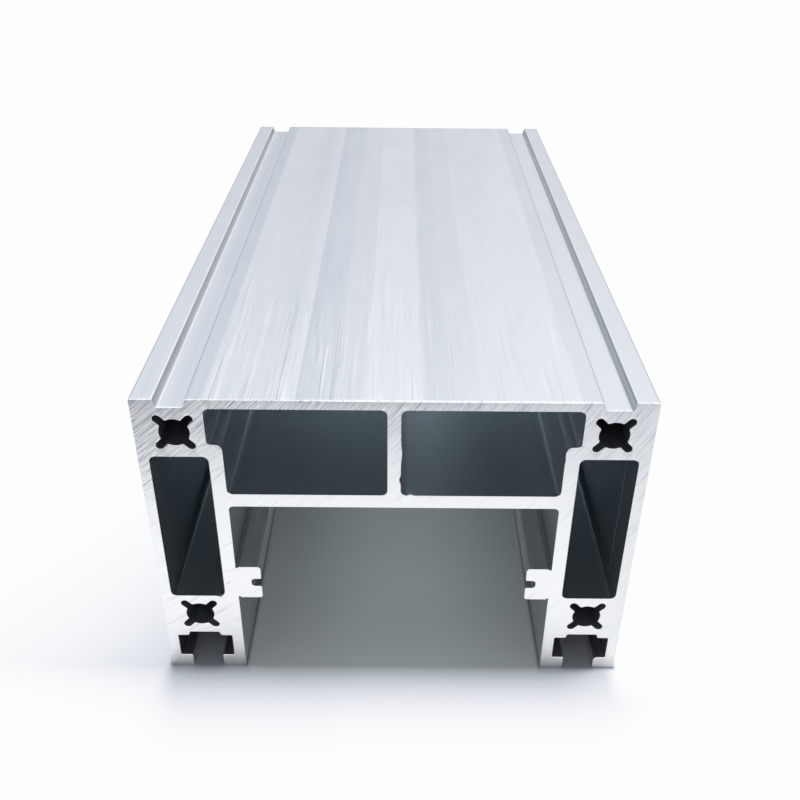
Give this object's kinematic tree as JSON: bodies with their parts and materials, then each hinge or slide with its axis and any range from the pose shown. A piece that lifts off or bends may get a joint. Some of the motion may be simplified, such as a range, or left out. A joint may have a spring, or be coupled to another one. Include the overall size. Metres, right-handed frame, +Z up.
{
  "type": "aluminium extrusion profile",
  "caption": "Hollow aluminium extrusion cut to length: chambered legs with T-slotted feet and notched guide ribs carry a boxed deck, with lobed screw ports running end to end.",
  "frame": {"origin": "middle of the footprint, on the floor under the two feet", "axes": "+X across the section, +Y along the stock away from the front end, +Z up from the feet to the top plate"},
  "size_m": [0.12, 0.2266, 0.085],
  "materials": {
    "mill_aluminium": "mill finish with die lines, sawn ends"
  },
  "bodies": {
    "root": {"extrusion_profile": "mill_aluminium"}
  },
  "joints": []
}
